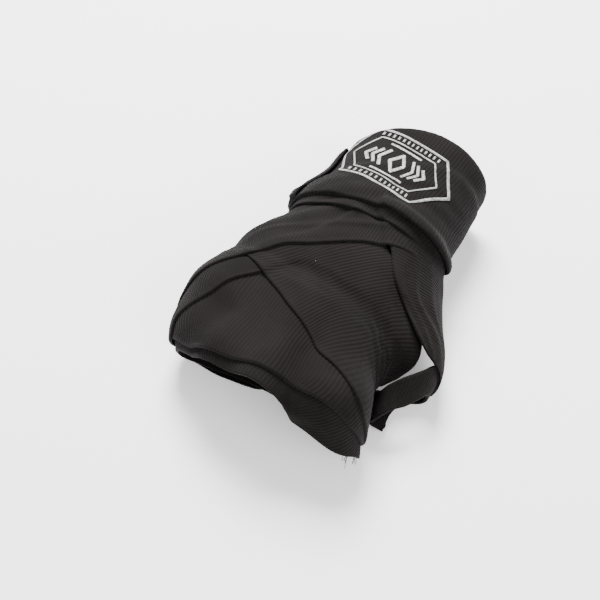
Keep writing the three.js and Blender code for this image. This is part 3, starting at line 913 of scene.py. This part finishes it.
def build_closure():
    loop = Strip(patch(TAB_ROOT - 1, TAB_TIP + 2, 3), wrist_form, step=COARSE, seed=41, waver=0)
    piece = lay("loop_tape_patch", loop, MATERIALS["loop"], thick=TAPE, ribbed=False)
    declare(piece, ["loop_tape"], "cuff")
    hook = Strip(patch(TAB_ROOT - 4, TAB_TIP + 5, 2), wrist_form, step=COARSE, seed=42, waver=0)
    piece = lay("hook_tape_patch", hook, MATERIALS["hook"], thick=TAPE, ribbed=False)
    declare(piece, ["hook_tape"], "tab")
    tab = Strip(patch(TAB_ROOT + 6, TAB_TIP, 0), wrist_form, step=FINE, seed=43, waver=0.15)
    end = lay("closure_tab_end", tab, MATERIALS["cloth"])
    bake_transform(end)
    tape = Strip(patch(TAB_TIP + 6, TAB_TIP - 0.5, -0.3), wrist_form, step=FINE, seed=44, waver=0)
    binding = lay("tab_binding", tape, MATERIALS["binding"], thick=TAPE)
    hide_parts("tab_end_binding")
    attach(binding, "tab")
    declare(end, ["closure_tab"])


def thread_tube(points, radius, sides=6):
    """A closed tube along points."""
    points = np.array(points, float)
    ahead = np.gradient(points, axis=0)
    ahead /= np.linalg.norm(ahead, axis=1, keepdims=True)
    aside = np.cross(ahead, np.array([0.31, 0.52, 0.79]))
    aside /= np.linalg.norm(aside, axis=1, keepdims=True)
    above = np.cross(ahead, aside)
    turn = np.linspace(0, 2 * math.pi, sides, endpoint=False)
    ring = aside[:, None] * np.cos(turn)[:, None] + above[:, None] * np.sin(turn)[:, None]
    size = np.full(len(points), radius)
    size[0] = size[-1] = radius * 0.45
    rings = points[:, None] + ring * size[:, None, None]
    n = len(points)
    i = np.arange(n - 1)[:, None] * sides
    j = np.arange(sides)[None, :]
    k = (j + 1) % sides
    quads = np.stack([i + j, i + k, i + sides + k, i + sides + j], -1).reshape(-1, 4)
    return rings.reshape(-1, 3), quads, n, sides


def tubes(name, paths, radius, material, sides=6):
    """Many closed tubes as one mesh, with their ends capped."""
    points, faces, count = [], [], 0
    for path in paths:
        p, quads, n, m = thread_tube(path, radius, sides)
        points.append(p)
        faces.extend((quads + count).tolist())
        faces.append([count + j for j in range(m)][::-1])
        faces.append([count + (n - 1) * m + j for j in range(m)])
        count += len(p)
    mesh = bpy.data.meshes.new(name)
    mesh.from_pydata((np.concatenate(points) * MM).tolist(), [], faces)
    mesh.polygons.foreach_set("use_smooth", np.ones(len(mesh.polygons), bool))
    mesh.update()
    piece = bpy.data.objects.new(name, mesh)
    bpy.context.scene.collection.objects.link(piece)
    mesh.materials.append(material)
    return piece


def stitch_row(start, end, form, axis, at, stitch=2.6, gap=0.9):
    """Paths of the stitches in a row on a form, between two places given as angle and y."""
    t = np.linspace(0, 1, 400)
    angle = start[0] + (end[0] - start[0]) * t
    y = start[1] + (end[1] - start[1]) * t
    base = cast(form, axis, angle, y)
    n = normals_of(form, base)
    height = at if np.isscalar(at) else at(angle, y)
    line = base + n * np.broadcast_to(height, angle.shape)[:, None]
    run = np.concatenate([[0], np.cumsum(np.linalg.norm(np.diff(line, axis=0), axis=1))])
    paths = []
    place = 0.4
    while place + stitch < run[-1]:
        u = np.linspace(place, place + stitch, 6)
        dip = np.array([-0.2, 0.06, 0.14, 0.14, 0.06, -0.2])
        p = np.stack([np.interp(u, run, line[:, k]) for k in range(3)], -1)
        q = np.stack([np.interp(u, run, n[:, k]) for k in range(3)], -1)
        paths.append(p + q * dip[:, None])
        place += stitch + gap
    return paths


def build_stitching():
    low, high = TAB_EDGES[0] + 3, TAB_EDGES[1] - 3
    root, tip = TAB_ROOT - 6, TAB_TIP + 8
    corners = [(root, low), (tip, low), (tip, high), (root, high), (root, low)]
    paths = []
    for a, b in zip(corners[:-1], corners[1:]):
        paths += stitch_row(a, b, wrist_form, hand_axis, cuff_surface)
    piece = tubes("hook_tape_seam", paths, 0.22, MATERIALS["thread"])
    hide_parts("hook_tape_stitching")
    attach(piece, "tab")
    paths = []
    for k in range(7):
        angle = -58 - 1.6 * k
        paths += stitch_row((angle, -1.5), (angle, -10.5), thumb_form, thumb_axis, 1.32, stitch=1.6, gap=0.2)
    piece = tubes("loop_bartack", paths, 0.24, MATERIALS["thread"])
    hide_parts("thumb_loop_bartack")
    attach(piece, "thumb")


def build_loose_threads():
    """A small frayed tail of yarns where the edge of the first turn passes under the index finger."""
    rng = np.random.default_rng(71)
    angle = rng.uniform(-9.0, 1.0, 9)
    y = np.interp(angle, (-10, 3), (-45.0, -53.2)) + 1.2
    base = cast(hand_form, hand_axis, angle, y)
    start = base + normals_of(hand_form, base) * (FIRST_LAYER + CLOTH / 2)
    paths = []
    for root in start:
        length = rng.uniform(3.0, 5.5)
        t = np.linspace(0, 1, 14)[:, None]
        heading = np.array([0.15, -0.62, -0.75]) + rng.uniform(-0.28, 0.28, 3)
        curl = rng.uniform(-0.8, 0.8, 3) * np.sin(t * rng.uniform(2, 5))
        paths.append(root + heading * length * t + curl * t)
    piece = tubes("loose_threads", paths, 0.11, MATERIALS["thread"], sides=5)
    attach(piece, "hand")


# ---- studio ----
def build_studio():
    size = 3.0
    mesh = bpy.data.meshes.new("floor")
    corners = [(-size, -size, 0), (size, -size, 0), (size, size, 0), (-size, size, 0)]
    mesh.from_pydata(corners, [], [(0, 1, 2, 3)])
    floor = bpy.data.objects.new("floor", mesh)
    bpy.context.scene.collection.objects.link(floor)
    material, _, shader = node_material("floor")
    shader.inputs["Base Color"].default_value = (0.95, 0.95, 0.955, 1)
    shader.inputs["Roughness"].default_value = 0.9
    shader.inputs["Emission Color"].default_value = (1, 1, 1, 1)
    shader.inputs["Emission Strength"].default_value = 0.3
    mesh.materials.append(material)
    world = bpy.data.worlds.new("world")
    world.use_nodes = True
    world.node_tree.nodes["Background"].inputs[0].default_value = (1, 1, 1, 1)
    world.node_tree.nodes["Background"].inputs[1].default_value = 0.6
    bpy.context.scene.world = world
    lamps = (
        ("key", (-0.35, 0.50, 0.72), 0.45, 36.0),
        ("fill", (0.75, -0.25, 0.55), 0.6, 9.0),
        ("front", (-0.1, -0.8, 0.5), 0.7, 3.0),
    )
    for name, place, size, power in lamps:
        data = bpy.data.lights.new(name, "AREA")
        data.size = size
        data.energy = power
        lamp = bpy.data.objects.new(name, data)
        bpy.context.scene.collection.objects.link(lamp)
        lamp.location = place
        aim = Vector((0, 0.01, 0.02)) - Vector(place)
        lamp.rotation_euler = aim.to_track_quat("-Z", "Y").to_euler()


build_camera()
build_hand()
build_thumb()
build_back()
build_cuff()
build_badge()
build_closure()
build_stitching()
build_loose_threads()
build_studio()
